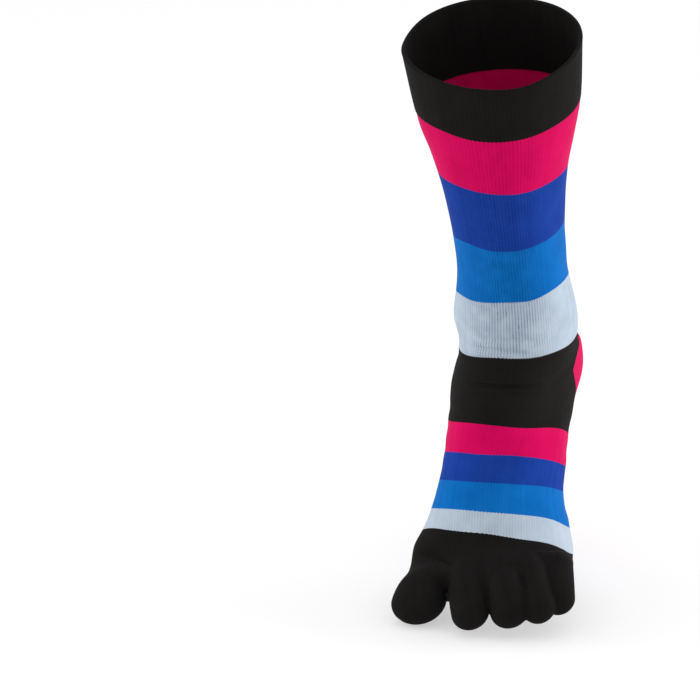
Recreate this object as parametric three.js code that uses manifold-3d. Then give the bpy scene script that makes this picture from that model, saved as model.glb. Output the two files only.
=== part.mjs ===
// Toe sock for a left foot, worn shape, heel lifted and toes resting on the floor.
// Millimetres, +Z up, toes towards -Y, little toe towards +X.
// The origin is the middle of the leg opening.
import * as THREE from 'three';
import { mergeVertices } from 'three/addons/utils/BufferGeometryUtils.js';
import Module from 'manifold-3d';

const FOOT_LENGTH = 238; // back of the heel to the tip of the second toe, foot flat
const SOCK_HEIGHT = 273; // sole to the back of the cuff edge, foot flat
const FOOT_WIDTH = 98; // across the ball of the foot
const KNIT = 1.4; // single knitted wall
const CUFF_KNIT = 2.3; // folded double knit at the cuff
const CUFF_STEP = 0.4; // how far the cuff stands out from the leg below it
const SEAM = 0.3; // clearance between neighbouring pieces
const HEEL_PATCH_LENGTH = 49; // coloured heel, measured forward along the sole
const HEEL_PATCH_HEIGHT = 45; // coloured heel, measured up from the sole

const ANKLE_FLEX = 17.8; // degrees the leg leans back from square to the sole
const TOE_BEND = 24; // degrees the toes turn up from the sole
const HEEL_LIFT = 33.4; // degrees the sole is tipped up at the heel

const AROUND = 32; // facets round the leg and foot
const TOE_AROUND = 16; // facets round a toe

// One row per edge between colour bands, from the cuff to the roots of the toes.
// Each row is a tilted ring: a point on the front or top of the sock, a point on the back or sole,
// the half widths on the big toe side and on the little toe side, how the ring is squared off,
// how low its sides hang, and how far they turn, tilt and bow out of its plane.
// forward is a share of FOOT_LENGTH, up of SOCK_HEIGHT, wide and shift of FOOT_WIDTH.
const COLUMNS = ['topForward', 'topUp', 'backForward', 'backUp', 'wideInner', 'wideOuter',
  'shiftTop', 'shiftBack', 'shift', 'squareTop', 'squareBack', 'lowInner', 'lowOuter', 'skew', 'tilt', 'bow'];
const ROWS = {
  cuffTop: [0.424, 0.974, -0.008, 1.000, 0.510, 0.510, 0, 0, -0.012, 2.1, 2.1, 0, 0, 0, 0, 0],
  cuffEnd: [0.412, 0.853, -0.004, 0.824, 0.466, 0.466, 0, 0, -0.004, 2.1, 2.1, 0, 0, 0, 0, 0],
  legPink: [0.395, 0.716, 0.025, 0.681, 0.372, 0.372, 0, 0, 0.003, 2.1, 2.1, 0, 0, 0, -0.005, 0],
  legRoyal: [0.380, 0.573, 0.050, 0.524, 0.324, 0.324, 0, 0, 0.016, 2.1, 2.1, 0, 0, 0, 0.010, 0],
  legAzure: [0.368, 0.443, 0.063, 0.370, 0.326, 0.324, 0, 0, 0.019, 2.2, 2.2, 0, 0, 0, 0.016, 0],
  legGrey: [0.370, 0.326, 0.038, 0.190, 0.340, 0.335, 0, 0, 0.006, 2.3, 2.4, 0.18, 0.22, 0, -0.008, 0],
  heelBack: [0.412, 0.289, 0.000, 0.066, 0.362, 0.338, -0.005, 0, -0.006, 2.3, 2.6, 0.30, 0.34, 0, 0, 0],
  heelUnder: [0.450, 0.271, 0.126, 0.004, 0.378, 0.338, -0.01, 0, -0.016, 2.2, 2.6, 0.22, 0.25, 0, 0, -0.012],
  arch: [0.487, 0.251, 0.311, 0.000, 0.358, 0.360, -0.020, 0, -0.020, 2.1, 2.5, 0, 0, 0, 0, -0.032],
  footPink: [0.538, 0.223, 0.382, 0.004, 0.353, 0.367, -0.04, 0.01, -0.022, 2.1, 2.6, 0.15, 0.25, 0, 0, -0.01],
  footRoyal: [0.601, 0.190, 0.454, 0.004, 0.367, 0.367, -0.06, 0.02, -0.02, 2.2, 2.7, 0.40, 0.60, -0.008, 0, 0],
  footAzure: [0.664, 0.163, 0.534, 0.000, 0.410, 0.400, -0.08, 0.02, 0.006, 2.3, 2.8, 0.45, 0.75, -0.012, 0, 0],
  footGrey: [0.723, 0.140, 0.609, -0.004, 0.456, 0.434, -0.090, 0, 0.026, 2.4, 2.8, 0.45, 0.75, -0.014, 0, 0],
  ball: [0.782, 0.121, 0.693, -0.004, 0.476, 0.452, -0.070, 0, 0.026, 2.3, 2.7, 0.30, 0.50, 0, 0, 0],
  webs: [0.832, 0.103, 0.782, 0.000, 0.462, 0.432, -0.040, 0, 0.018, 2.2, 2.6, 0.15, 0.25, 0.045, 0, 0],
};
const NAMES = Object.keys(ROWS);
const TABLE = Object.values(ROWS);

// Where the foot bends, as shares of the same sizes.
const BEND = {
  ankleForward: 0.244,
  ankleUp: 0.256,
  legFrom: 0.183,
  legTo: 0.421,
  toeForward: 0.748,
  toeUp: 0.051,
  toeFrom: -0.042,
  toeTo: 0.101,
  toeSlant: 0.30,
};

// Ankle bones under the knit: where they stand out, how far and how wide they spread.
// row and spreadRow are counted in rows of the table, angle and spreadAngle in degrees
// from the front towards the little toe side, out is a share of FOOT_WIDTH.
const ANKLE_BONES = {
  outer: { row: 4.5, angle: 100, out: 0.040, spreadRow: 0.42, spreadAngle: 32 },
  inner: { row: 4.3, angle: -82, out: 0.034, spreadRow: 0.42, spreadAngle: 32 },
};

// Toes: the middle line at the root, half way and at the centre of the round end,
// each [across, forward, up], then half widths and half heights at the same three places.
// across and half width are shares of FOOT_WIDTH, forward of FOOT_LENGTH, up of SOCK_HEIGHT.
const TOES = {
  toe_big: {
    line: [[-0.311, 0.765, 0.059], [-0.336, 0.853, 0.059], [-0.327, 0.905, 0.047]],
    wide: [0.135, 0.138, 0.156],
    tall: [0.040, 0.044, 0.045],
  },
  toe_second: {
    line: [[-0.096, 0.777, 0.060], [-0.055, 0.870, 0.064], [-0.003, 0.941, 0.039]],
    wide: [0.100, 0.106, 0.108],
    tall: [0.039, 0.038, 0.036],
  },
  toe_third: {
    line: [[0.088, 0.756, 0.059], [0.159, 0.857, 0.063], [0.229, 0.929, 0.039]],
    wide: [0.100, 0.108, 0.113],
    tall: [0.038, 0.038, 0.037],
  },
  toe_fourth: {
    line: [[0.243, 0.744, 0.055], [0.312, 0.819, 0.057], [0.394, 0.903, 0.037]],
    wide: [0.098, 0.098, 0.101],
    tall: [0.036, 0.036, 0.035],
  },
  toe_little: {
    line: [[0.368, 0.718, 0.050], [0.418, 0.790, 0.050], [0.478, 0.866, 0.034]],
    wide: [0.090, 0.090, 0.090],
    tall: [0.033, 0.033, 0.032],
  },
};
const TOE_STATIONS = 7; // rings along a toe
const TOE_CAP = 4; // rings round the end of a toe
const ROOT_AT = 0.50; // where along its middle line a toe leaves the foot
const HALF_WAY = 0.55; // where the middle row of the toe table stands

const rad = THREE.MathUtils.degToRad;
const fromForward = (share) => share * FOOT_LENGTH;
const fromUp = (share) => share * SOCK_HEIGHT;
const fromAcross = (share) => share * FOOT_WIDTH;

const smooth = (from, to, value) => THREE.MathUtils.smoothstep(value, from, to);

// Turns a side view point [forward, up] about a pivot.
const turn = ([f, h], [f0, h0], degrees) => {
  const c = Math.cos(rad(degrees));
  const s = Math.sin(rad(degrees));
  return [f0 + (f - f0) * c - (h - h0) * s, h0 + (f - f0) * s + (h - h0) * c];
};

// Flat foot, upright leg -> lifted heel, leaning leg, bent toes.
const poseFoot = ([x, f, h]) => {
  const anklePivot = [fromForward(BEND.ankleForward), fromUp(BEND.ankleUp)];
  const legShare = smooth(fromUp(BEND.legFrom), fromUp(BEND.legTo), h);
  const leaned = turn([f, h], anklePivot, ANKLE_FLEX * legShare);
  const ballForward = fromForward(BEND.toeForward);
  const lineForward = ballForward - BEND.toeSlant * (x + 0.2 * FOOT_WIDTH);
  const beyond = leaned[0] - lineForward;
  const toeShare = smooth(fromForward(BEND.toeFrom), fromForward(BEND.toeTo), beyond);
  const bent = turn(leaned, [lineForward, fromUp(BEND.toeUp)], TOE_BEND * toeShare);
  const lifted = turn(bent, [ballForward, 0], -HEEL_LIFT);
  return new THREE.Vector3(x, ballForward - lifted[0], lifted[1]);
};

// Middle of the leg opening, the origin of the part.
const openingMiddle = () => {
  const row = TABLE[0];
  const middle = [
    fromAcross(row[8]),
    (fromForward(row[0]) + fromForward(row[2])) / 2,
    (fromUp(row[1]) + fromUp(row[3])) / 2,
  ];
  return poseFoot(middle);
};
const ORIGIN = openingMiddle();
const place = (point) => poseFoot(point).sub(ORIGIN);

// Catmull-Rom through the rows of the table, u counted in rows.
const rowAt = (u) => {
  const last = TABLE.length - 1;
  const at = THREE.MathUtils.clamp(u, 0, last);
  const i = Math.min(Math.floor(at), last - 1);
  const t = at - i;
  return COLUMNS.map((name, k) => {
    const b = TABLE[i][k];
    const c = TABLE[i + 1][k];
    const a = i > 0 ? TABLE[i - 1][k] : 2 * b - c;
    const d = i + 2 <= last ? TABLE[i + 2][k] : 2 * c - b;
    return 0.5 * (2 * b + (c - a) * t + (2 * a - 5 * b + 4 * c - d) * t * t
      + (3 * b - a - 3 * c + d) * t * t * t);
  });
};

const squared = (value, power) => Math.sign(value) * Math.abs(value) ** (2 / power);

// How far the ankle bones push the knit out at this place.
const boneOut = (u, angle) => Object.values(ANKLE_BONES).reduce((sum, bone) => {
  const turned = THREE.MathUtils.euclideanModulo(angle - rad(bone.angle) + Math.PI, Math.PI * 2) - Math.PI;
  const away = ((u - bone.row) / bone.spreadRow) ** 2 + (turned / rad(bone.spreadAngle)) ** 2;
  return sum + Math.sign(bone.angle) * bone.out * Math.exp(-away);
}, 0);

// Point of the outer knit: u runs down the sock, angle runs round it from the front or top.
const flatPoint = (u, angle) => {
  const [topForward, topUp, backForward, backUp, wideInner, wideOuter,
    shiftTop, shiftBack, shift, squareTop, squareBack, lowInner, lowOuter, skew, tilt, bow] = rowAt(u);
  const c = Math.cos(angle);
  const s = Math.sin(angle);
  const power = c > 0 ? squareTop : squareBack;
  const along = squared(c, power);
  const side = squared(s, power);
  const low = s > 0 ? lowOuter : lowInner;
  const k = -low + along * (along > 0 ? 1 + low : 1 - low);
  const wide = s > 0 ? wideOuter : wideInner;
  const lean = c > 0 ? shiftTop : shiftBack;
  const x = fromAcross(shift + wide * side + lean * along * along + boneOut(u, angle));
  const f = fromForward((topForward + backForward) / 2 + ((topForward - backForward) / 2) * k);
  const h = fromUp((topUp + backUp) / 2 + ((topUp - backUp) / 2) * k);
  return [x, f + fromForward(bow * side * side - skew * side), h + fromUp(tilt) * side];
};
const knitPoint = (u, angle) => place(flatPoint(u, angle));

const STEP = 0.01;
const slopeAlong = (u, angle) => {
  const last = TABLE.length - 1;
  const from = Math.max(u - STEP, 0);
  const to = Math.min(u + STEP, last);
  return knitPoint(to, angle).sub(knitPoint(from, angle)).divideScalar(to - from);
};
const slopeRound = (u, angle) => knitPoint(u, angle + STEP)
  .sub(knitPoint(u, angle - STEP)).divideScalar(2 * STEP);
const outward = (u, angle) => slopeAlong(u, angle).cross(slopeRound(u, angle)).normalize();

// A ring of points round the sock, moved outward, and along the knit by an exact length.
const knitRing = (u, moveOut, moveAlong = 0) => {
  const ring = [];
  for (let i = 0; i < AROUND; i += 1) {
    const angle = (i / AROUND) * Math.PI * 2;
    const at = u + (moveAlong ? moveAlong / slopeAlong(u, angle).length() : 0);
    ring.push(knitPoint(at, angle).addScaledVector(outward(at, angle), moveOut));
  }
  return ring;
};

// Closed skin through rings of equal count. Each end is joined to the next list of rings,
// so one list gives a capped body and an outer with an inner list gives a hollow band.
const skin = (rings, closeEnds) => {
  const count = rings[0].length;
  const points = rings.flat();
  const faces = [];
  const rows = closeEnds ? rings.length - 1 : rings.length;
  for (let j = 0; j < rows; j += 1) {
    const a = j * count;
    const b = ((j + 1) % rings.length) * count;
    for (let i = 0; i < count; i += 1) {
      const n = (i + 1) % count;
      faces.push(a + i, b + i, b + n);
      faces.push(a + i, b + n, a + n);
    }
  }
  if (closeEnds) {
    const middles = [rings[0], rings[rings.length - 1]].map((ring) => {
      const sum = new THREE.Vector3();
      ring.forEach((p) => sum.add(p));
      return sum.divideScalar(count);
    });
    const first = points.push(middles[0]) - 1;
    const final = points.push(middles[1]) - 1;
    const base = (rings.length - 1) * count;
    for (let i = 0; i < count; i += 1) {
      const n = (i + 1) % count;
      faces.push(first, i, n);
      faces.push(final, base + n, base + i);
    }
  }
  return { points, faces };
};

const volumeOf = ({ points, faces }) => {
  let sum = 0;
  for (let i = 0; i < faces.length; i += 3) {
    const [a, b, c] = [points[faces[i]], points[faces[i + 1]], points[faces[i + 2]]];
    sum += a.dot(b.clone().cross(c));
  }
  return sum / 6;
};

const toGeometry = (body) => {
  const faces = volumeOf(body) < 0 ? body.faces.slice().reverse() : body.faces;
  const geometry = new THREE.BufferGeometry();
  const positions = new Float32Array(body.points.flatMap((p) => [p.x, p.y, p.z]));
  geometry.setAttribute('position', new THREE.BufferAttribute(positions, 3));
  geometry.setIndex(faces);
  return geometry;
};

const wasm = await Module();
wasm.setup();

const toSolid = (geometry) => {
  const bare = new THREE.BufferGeometry();
  bare.setAttribute('position', geometry.getAttribute('position'));
  if (geometry.index) bare.setIndex(geometry.index);
  const merged = mergeVertices(bare, 1e-4);
  const mesh = new wasm.Mesh({
    numProp: 3,
    vertProperties: Float32Array.from(merged.getAttribute('position').array),
    triVerts: Uint32Array.from(merged.index.array),
  });
  return new wasm.Manifold(mesh);
};

const fromSolid = (solid) => {
  const mesh = solid.getMesh();
  const geometry = new THREE.BufferGeometry();
  geometry.setAttribute('position', new THREE.BufferAttribute(Float32Array.from(mesh.vertProperties), 3));
  geometry.setIndex(Array.from(mesh.triVerts));
  return geometry;
};

// Hollow band of knit between two rows of the table.
const bandGeometry = (fromRow, toRow, steps, outer, inner, openTop = false) => {
  const from = NAMES.indexOf(fromRow);
  const to = NAMES.indexOf(toRow);
  const rings = [];
  for (let j = 0; j <= steps; j += 1) {
    const u = from + ((to - from) * j) / steps;
    const along = j === 0 && !openTop ? SEAM / 2 : j === steps ? -SEAM / 2 : 0;
    rings.push([u, along]);
  }
  const outside = rings.map(([u, along]) => knitRing(u, outer, along));
  const inside = rings.map(([u, along]) => knitRing(u, -inner, along)).reverse();
  return toGeometry(skin([...outside, ...inside], false));
};

const finish = {
  black: [0x1b1919, 0.92],
  pink: [0xd8085c, 0.88],
  royal: [0x1c40a0, 0.88],
  azure: [0x0a6cc0, 0.88],
  grey: [0xb9c8d3, 0.88],
};
const piece = (name, geometry, colour) => {
  const [hex, roughness] = finish[colour];
  geometry.computeVertexNormals();
  const material = new THREE.MeshStandardMaterial({ color: hex, roughness, metalness: 0 });
  const mesh = new THREE.Mesh(geometry, material);
  mesh.name = name;
  return mesh;
};

const group = new THREE.Group();
group.name = 'toe_sock';

// Leg: cuff and four bands.
const cuffGeometry = bandGeometry('cuffTop', 'cuffEnd', 2, CUFF_STEP, CUFF_KNIT - CUFF_STEP, true);
group.add(piece('cuff', cuffGeometry, 'black'));
group.add(piece('leg_band_pink', bandGeometry('cuffEnd', 'legPink', 2, 0, KNIT), 'pink'));
group.add(piece('leg_band_royal', bandGeometry('legPink', 'legRoyal', 2, 0, KNIT), 'royal'));
group.add(piece('leg_band_azure', bandGeometry('legRoyal', 'legAzure', 2, 0, KNIT), 'azure'));
group.add(piece('leg_band_grey', bandGeometry('legAzure', 'legGrey', 3, 0, KNIT), 'grey'));

// Heel and instep: one hollow bend, with the coloured heel cut out of its lower back corner.
const heelShell = toSolid(bandGeometry('legGrey', 'arch', 8, 0, KNIT));
const heelCorner = (grow) => {
  const reach = FOOT_WIDTH;
  const flat = [[-reach, -reach], [HEEL_PATCH_LENGTH + grow, HEEL_PATCH_HEIGHT + grow]];
  const corners = [];
  for (const x of [-reach, reach]) {
    for (const [f, h] of [[flat[0][0], flat[0][1]], [flat[1][0], flat[0][1]],
      [flat[1][0], flat[1][1]], [flat[0][0], flat[1][1]]]) {
      corners.push(place([x, f, h]));
    }
  }
  return toSolid(toGeometry(skin([corners.slice(0, 4), corners.slice(4)], true)));
};
const heelPatch = heelShell.intersect(heelCorner(-SEAM / 2));
const ankle = heelShell.subtract(heelCorner(SEAM / 2));
group.add(piece('ankle_and_instep', fromSolid(ankle), 'black'));
group.add(piece('heel_patch', fromSolid(heelPatch), 'pink'));

// Foot: four narrow bands.
group.add(piece('foot_band_pink', bandGeometry('arch', 'footPink', 2, 0, KNIT), 'pink'));
group.add(piece('foot_band_royal', bandGeometry('footPink', 'footRoyal', 2, 0, KNIT), 'royal'));
group.add(piece('foot_band_azure', bandGeometry('footRoyal', 'footAzure', 2, 0, KNIT), 'azure'));
group.add(piece('foot_band_grey', bandGeometry('footAzure', 'footGrey', 2, 0, KNIT), 'grey'));

// Forefoot body, closed by a low dome between the toes.
const DOME = 0.03; // depth of the dome, share of FOOT_LENGTH
const DOME_RINGS = 3;
const forefootBody = (inset, startMove) => {
  const from = NAMES.indexOf('footGrey');
  const to = NAMES.indexOf('webs');
  const rings = [knitRing(from, -inset, startMove)];
  if (inset === 0) rings.unshift(knitRing(from, -2 * KNIT, startMove));
  const steps = 4;
  for (let j = 1; j <= steps; j += 1) {
    rings.push(knitRing(from + ((to - from) * j) / steps, -inset));
  }
  const edge = rings[rings.length - 1];
  const middle = edge.reduce((sum, p) => sum.add(p), new THREE.Vector3()).divideScalar(edge.length);
  const before = rings[rings.length - 2];
  const beforeMiddle = before.reduce((sum, p) => sum.add(p), new THREE.Vector3()).divideScalar(before.length);
  const ahead = middle.clone().sub(beforeMiddle).normalize();
  for (let k = 1; k <= DOME_RINGS; k += 1) {
    const angle = (k / (DOME_RINGS + 0.5)) * (Math.PI / 2);
    const shrink = Math.cos(angle);
    const forward = Math.sin(angle) * (fromForward(DOME) - inset);
    rings.push(edge.map((p) => middle.clone()
      .addScaledVector(p.clone().sub(middle), shrink)
      .addScaledVector(ahead, forward)));
  }
  return toSolid(toGeometry(skin(rings, true)));
};

// A smooth value through three places along a toe.
const through = ([a, b, c], t) => {
  const m = HALF_WAY;
  return (a * (t - m) * (t - 1)) / m + (b * t * (t - 1)) / (m * (m - 1)) + (c * t * (t - m)) / (1 - m);
};
const toeMiddle = (toe, t) => [
  fromAcross(through(toe.line.map((p) => p[0]), t)),
  fromForward(through(toe.line.map((p) => p[1]), t)),
  fromUp(through(toe.line.map((p) => p[2]), t)),
];
const toeBody = (toe, inset) => {
  const rings = [];
  const ringAt = (t, ahead, shrink) => {
    const at = new THREE.Vector3(...toeMiddle(toe, t));
    const back = new THREE.Vector3(...toeMiddle(toe, t - 0.02));
    const heading = at.clone().sub(back).normalize();
    const side = new THREE.Vector3(heading.y, -heading.x, 0).normalize();
    const up = side.clone().cross(heading);
    const wide = (fromAcross(through(toe.wide, t)) - inset) * shrink;
    const tall = (fromUp(through(toe.tall, t)) - inset) * shrink;
    const ring = [];
    for (let i = 0; i < TOE_AROUND; i += 1) {
      const angle = (i / TOE_AROUND) * Math.PI * 2;
      const p = at.clone().addScaledVector(heading, ahead)
        .addScaledVector(side, wide * Math.cos(angle))
        .addScaledVector(up, tall * Math.sin(angle));
      ring.push(place([p.x, p.y, p.z]));
    }
    rings.push(ring);
  };
  for (let j = 0; j <= TOE_STATIONS; j += 1) ringAt(j / TOE_STATIONS, 0, 1);
  const reach = (fromAcross(toe.wide[2]) + fromUp(toe.tall[2])) / 2 - inset;
  for (let k = 1; k <= TOE_CAP; k += 1) {
    const angle = (k / (TOE_CAP + 0.4)) * (Math.PI / 2);
    ringAt(1, Math.sin(angle) * reach, Math.cos(angle));
  }
  return toSolid(toGeometry(skin(rings, true)));
};

// Plan view lines between neighbouring toes, from the web forward past the tips.
const toeList = Object.values(TOES);
const betweenToes = (left, right, t) => {
  const [lx, lf, lh] = toeMiddle(left, t);
  const [rx, rf, rh] = toeMiddle(right, t);
  const share = through(left.wide, t) / (through(left.wide, t) + through(right.wide, t));
  return place([lx + (rx - lx) * share, lf + (rf - lf) * share, lh + (rh - lh) * share]);
};
const FAR = FOOT_WIDTH; // beyond every side of the toes
const lines = toeList.slice(1).map((right, i) => {
  const left = toeList[i];
  const web = betweenToes(left, right, ROOT_AT);
  const middle = betweenToes(left, right, (ROOT_AT + 1) / 2);
  const tip = betweenToes(left, right, 1);
  const end = tip.clone().add(tip.clone().sub(middle).setLength(FAR));
  return [web, middle, tip, end];
});
const innerEdge = lines[0].map((p) => new THREE.Vector3(-FAR, p.y, p.z));
const outerEdge = lines[lines.length - 1].map((p) => new THREE.Vector3(FAR, p.y, p.z));
const edges = [innerEdge, ...lines, outerEdge];

const prism = (outline) => {
  const shape = new THREE.Shape(outline.map(([x, y]) => new THREE.Vector2(x, y)));
  const geometry = new THREE.ExtrudeGeometry(shape, { depth: 4 * SOCK_HEIGHT, bevelEnabled: false });
  geometry.translate(0, 0, -3 * SOCK_HEIGHT);
  return toSolid(geometry);
};
// Room of one toe between its two lines, moved in by sideRoom, starting at its root line.
const toeRoom = (i, sideRoom, rootRoom) => {
  const left = edges[i];
  const right = edges[i + 1];
  const outline = [
    ...left.map((p, k) => [p.x + sideRoom, p.y - (k === 0 ? rootRoom : 0)]),
    ...right.map((p, k) => [p.x - sideRoom, p.y - (k === 0 ? rootRoom : 0)]).reverse(),
  ];
  return prism(outline);
};
const footRoom = () => {
  const roots = edges.map((line) => [line[0].x, line[0].y + SEAM / 2]);
  return prism([...roots, [FAR, 4 * FAR], [-FAR, 4 * FAR]]);
};

const forefootOuter = forefootBody(0, SEAM / 2);
const forefootInner = forefootBody(KNIT, -3 * KNIT);
// Solid foot behind the last band edge, kept free of the toes.
const behind = ['footRoyal', 'footAzure', 'footGrey'].map((name) => NAMES.indexOf(name));
const bandCore = toSolid(toGeometry(skin([
  knitRing(behind[0], KNIT),
  knitRing(behind[1], KNIT),
  knitRing(behind[2], KNIT, SEAM / 2),
], true)));
const toeOuters = toeList.map((toe) => toeBody(toe, 0).subtract(bandCore));
const toeInners = toeList.map((toe) => toeBody(toe, KNIT));

const footOuter = toeOuters.reduce((sum, toe) => sum.add(toe), forefootOuter);
const footInner = toeInners.reduce((sum, toe) => sum.add(toe), forefootInner);
const forefoot = footOuter.intersect(footRoom()).subtract(footInner);
group.add(piece('forefoot', fromSolid(forefoot), 'black'));

Object.keys(TOES).forEach((name, i) => {
  const outer = forefootOuter.add(toeOuters[i]).intersect(toeRoom(i, SEAM / 2, SEAM / 2));
  const inner = forefootInner.add(toeInners[i]).intersect(toeRoom(i, SEAM / 2 + KNIT, -KNIT));
  group.add(piece(name, fromSolid(outer.subtract(inner)), 'black'));
});

export default group;
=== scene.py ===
import math

import bmesh
import bpy
import numpy as np
from mathutils import Matrix, Vector
from mathutils.bvhtree import BVHTree


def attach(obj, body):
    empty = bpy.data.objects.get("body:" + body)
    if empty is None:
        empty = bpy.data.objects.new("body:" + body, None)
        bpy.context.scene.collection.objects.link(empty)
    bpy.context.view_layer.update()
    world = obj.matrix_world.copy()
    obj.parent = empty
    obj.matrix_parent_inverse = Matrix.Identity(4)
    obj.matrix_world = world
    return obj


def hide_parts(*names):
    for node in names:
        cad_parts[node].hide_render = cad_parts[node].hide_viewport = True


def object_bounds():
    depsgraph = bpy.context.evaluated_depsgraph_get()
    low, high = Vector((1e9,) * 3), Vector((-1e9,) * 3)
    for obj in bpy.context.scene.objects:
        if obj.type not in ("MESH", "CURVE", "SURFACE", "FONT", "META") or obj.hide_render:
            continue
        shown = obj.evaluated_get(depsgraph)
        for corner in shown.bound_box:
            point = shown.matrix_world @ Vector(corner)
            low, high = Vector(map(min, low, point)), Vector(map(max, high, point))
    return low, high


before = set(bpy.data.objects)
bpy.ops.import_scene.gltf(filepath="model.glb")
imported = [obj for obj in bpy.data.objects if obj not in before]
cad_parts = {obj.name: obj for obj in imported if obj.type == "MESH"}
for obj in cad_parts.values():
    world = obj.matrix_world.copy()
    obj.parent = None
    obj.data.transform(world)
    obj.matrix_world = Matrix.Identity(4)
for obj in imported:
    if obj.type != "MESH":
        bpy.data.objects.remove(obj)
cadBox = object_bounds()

# Knitted toe sock for a left foot: plain cuff, four leg bands, black ankle with a pink heel,
# four foot bands and five knitted toes. Metres, +Z up, toes towards -Y, little toe towards +X.

# Sizes of the whole sock in metres, and its bends in degrees.
sock = {
    "footLength": 0.238,  # heel to second toe, foot flat
    "sockHeight": 0.273,  # sole to the back of the cuff edge, foot flat
    "footWidth": 0.098,
    "wall": 0.0014,
    "ankleFlex": 17.8,
    "toeBend": 24.0,
    "heelLift": 33.4,
    "around": 264,  # points round a ring of knit
    "rowStep": 0.0010,  # distance between rings of knit
    "needles": 132,  # wales round the sock
    "waleWide": 0.0018,  # at the ankle and on the toes
    "courseStep": 0.0015,
}

# One row per colour change, from the cuff to the roots of the toes.
# forward is a share of footLength, up of sockHeight, wide and shift of footWidth.
ringColumns = ["topForward", "topUp", "backForward", "backUp", "wideInner", "wideOuter",
               "shiftTop", "shiftBack", "shift", "squareTop", "squareBack", "lowInner", "lowOuter",
               "skew", "tilt", "bow"]
ringRows = {
    "cuffTop": [0.424, 0.974, -0.008, 1, 0.51, 0.51, 0, 0, -0.012, 2.1, 2.1, 0, 0, 0, 0, 0],
    "cuffEnd": [0.412, 0.853, -0.004, 0.824, 0.466, 0.466, 0, 0, -0.004, 2.1, 2.1, 0, 0, 0, 0, 0],
    "legPink": [0.395, 0.716, 0.025, 0.681, 0.372, 0.372, 0, 0, 0.003, 2.1, 2.1, 0, 0, 0, -0.005, 0],
    "legRoyal": [0.38, 0.573, 0.05, 0.524, 0.324, 0.324, 0, 0, 0.016, 2.1, 2.1, 0, 0, 0, 0.01, 0],
    "legAzure": [0.368, 0.443, 0.063, 0.37, 0.326, 0.324, 0, 0, 0.019, 2.2, 2.2, 0, 0, 0, 0.016, 0],
    "legGrey": [0.37, 0.326, 0.038, 0.19, 0.34, 0.335, 0, 0, 0.006, 2.3, 2.4, 0.18, 0.22, 0, -0.008, 0],
    "heelBack": [0.412, 0.289, 0, 0.066, 0.362, 0.338, -0.005, 0, -0.006, 2.3, 2.6, 0.3, 0.34, 0, 0, 0],
    "heelUnder": [0.45, 0.271, 0.126, 0.004, 0.378, 0.338, -0.01, 0, -0.016,
                  2.2, 2.6, 0.22, 0.25, 0, 0, -0.012],
    "arch": [0.487, 0.251, 0.311, 0, 0.358, 0.36, -0.02, 0, -0.02, 2.1, 2.5, 0, 0, 0, 0, -0.032],
    "footPink": [0.538, 0.223, 0.382, 0.004, 0.353, 0.367, -0.04, 0.01, -0.022,
                 2.1, 2.6, 0.15, 0.25, 0, 0, -0.01],
    "footRoyal": [0.601, 0.19, 0.454, 0.004, 0.367, 0.367, -0.06, 0.02, -0.02,
                  2.2, 2.7, 0.4, 0.6, -0.008, 0, 0],
    "footAzure": [0.664, 0.163, 0.534, 0, 0.41, 0.4, -0.08, 0.02, 0.006, 2.3, 2.8, 0.45, 0.75, -0.012, 0, 0],
    "footGrey": [0.723, 0.14, 0.609, -0.004, 0.456, 0.434, -0.09, 0, 0.026,
                 2.4, 2.8, 0.45, 0.75, -0.014, 0, 0],
    "ball": [0.782, 0.121, 0.693, -0.004, 0.476, 0.452, -0.07, 0, 0.026, 2.3, 2.7, 0.3, 0.5, 0, 0, 0],
    "webs": [0.832, 0.103, 0.782, 0, 0.462, 0.432, -0.04, 0, 0.018, 2.2, 2.6, 0.15, 0.25, 0.045, 0, 0],
}
ringNames = list(ringRows)
ringTable = np.array(list(ringRows.values()), float)

# Where the foot bends, as shares of the same sizes.
bend = {
    "ankleForward": 0.244,
    "ankleUp": 0.256,
    "legFrom": 0.183,
    "legTo": 0.421,
    "toeForward": 0.748,
    "toeUp": 0.051,
    "toeFrom": -0.042,
    "toeTo": 0.101,
    "toeSlant": 0.30,  # the toes bend about a line that slants across the ball
    "slantFrom": -0.2,  # and crosses its middle here, as a share of footWidth
}

# Where the foot fills the knit more than the table says: two ankle bones, inner ankle, heel and ball.
# row counts rows of the table, angle is in degrees from the front, out is a share of footWidth,
# and the spreads say how wide a place is, in rows and in degrees.
fullColumns = ["row", "angle", "out", "spreadRow", "spreadAngle"]
fullPlaces = [
    [4.50, 100, 0.040, 0.42, 32],
    [4.30, -82, 0.034, 0.42, 32],
    [5.80, -82, 0.008, 0.40, 28],
    [6.35, -70, 0.027, 0.65, 34],
    [6.45, 108, 0.018, 0.40, 30],
    [12.60, -78, 0.030, 0.55, 40],
    [13.00, 92, 0.010, 0.60, 40],
]

# Shallow creases of the worn knit: where, how far they run round and along, how deep.
# row counts rows of the table, angle and reach are in degrees, wide and deep in metres,
# lean tips a crease along the sock for each degree round it.
creaseColumns = ["row", "angle", "reach", "wide", "deep", "lean"]
creases = [
    [5.97, 8, 30, 0.0013, 0.00180, 0.0006],
    [5.70, -2, 24, 0.0015, 0.00055, -0.0006],
    [6.30, 12, 34, 0.0020, 0.00060, 0.0012],
    [6.80, -10, 30, 0.0024, 0.00060, -0.0012],
    [7.45, 14, 30, 0.0026, 0.00045, 0.0008],
    [4.86, 0, 30, 0.0014, 0.00080, 0.0002],
    [4.64, 4, 26, 0.0014, 0.00060, -0.0003],
    [5.35, 128, 34, 0.0030, 0.00060, -0.0020],
    [5.75, -128, 34, 0.0030, 0.00060, 0.0020],
    [8.35, 178, 60, 0.0040, 0.00050, 0.0000],
    [9.40, -172, 55, 0.0040, 0.00045, 0.0000],
]


# Rows of a table by the names of its columns.
def named(columns, table):
    return [dict(zip(columns, row)) for row in table]


def lengthOf(vectors):
    return np.linalg.norm(vectors, axis=-1)


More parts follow.
